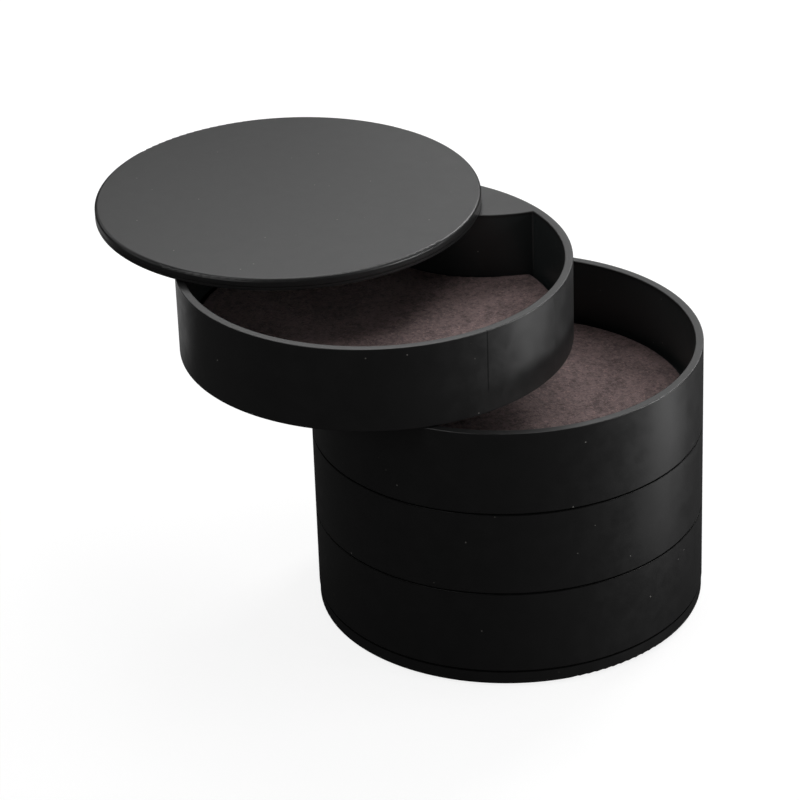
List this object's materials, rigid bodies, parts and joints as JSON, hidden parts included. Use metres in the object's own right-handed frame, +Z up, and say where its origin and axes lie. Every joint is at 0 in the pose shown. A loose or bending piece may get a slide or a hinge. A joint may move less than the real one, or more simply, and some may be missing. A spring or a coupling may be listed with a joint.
{
  "type": "swivel jewellery box",
  "caption": "Round black jewellery box whose felt-lined trays and disc lid are stacked on a base plate and swing sideways on an upright rear pin.",
  "frame": {"origin": "centre of the underside of the closed stack, on the surface it stands on", "axes": "+Z up, +Y from the stack's centre to the pivot pin at the rear, +X to the right seen from the front"},
  "size_m": [0.1551, 0.1658, 0.1078],
  "materials": {
    "black_plastic": "fine satin spark-eroded texture, near black",
    "felt": "mottled mauve-brown felt",
    "steel": "turned",
    "spring_steel": "blued spring steel",
    "nylon": "natural nylon",
    "grip_rubber": "fine ribbed foam rubber"
  },
  "bodies": {
    "base": {"base_plate": "black_plastic", "base_grip_pad": "grip_rubber", "pivot_pin": "steel", "pivot_clip": "spring_steel", "pivot_washer": "steel", "pivot_spring": "spring_steel", "base_swivel_washer": "nylon"},
    "lid": {"lid_cover": "black_plastic", "lid_plate": "black_plastic"},
    "tray_1": {"tray_1_shell": "black_plastic", "tray_1_felt_pad": "felt", "tray_1_swivel_washer": "nylon"},
    "tray_2": {"tray_2_shell": "black_plastic", "tray_2_felt_pad": "felt", "tray_2_swivel_washer": "nylon"},
    "tray_3": {"tray_3_shell": "black_plastic", "tray_3_felt_pad": "felt", "tray_3_swivel_washer": "nylon"},
    "tray_4": {"tray_4_shell": "black_plastic", "tray_4_felt_pad": "felt", "tray_4_swivel_washer": "nylon"}
  },
  "joints": [
    {"name": "lid_swivel", "type": "hinge", "parent": "base", "child": "lid", "pos_m": [0, 0.0461, 0], "axis": [0, 0, 1], "continuous": true},
    {"name": "tray_1_swivel", "type": "hinge", "parent": "base", "child": "tray_1", "pos_m": [0, 0.0461, 0], "axis": [0, 0, 1], "continuous": true},
    {"name": "tray_2_swivel", "type": "hinge", "parent": "base", "child": "tray_2", "pos_m": [0, 0.0461, 0], "axis": [0, 0, 1], "continuous": true},
    {"name": "tray_3_swivel", "type": "hinge", "parent": "base", "child": "tray_3", "pos_m": [0, 0.0461, 0], "axis": [0, 0, 1], "continuous": true},
    {"name": "tray_4_swivel", "type": "hinge", "parent": "base", "child": "tray_4", "pos_m": [0, 0.0461, 0], "axis": [0, 0, 1], "continuous": true}
  ]
}
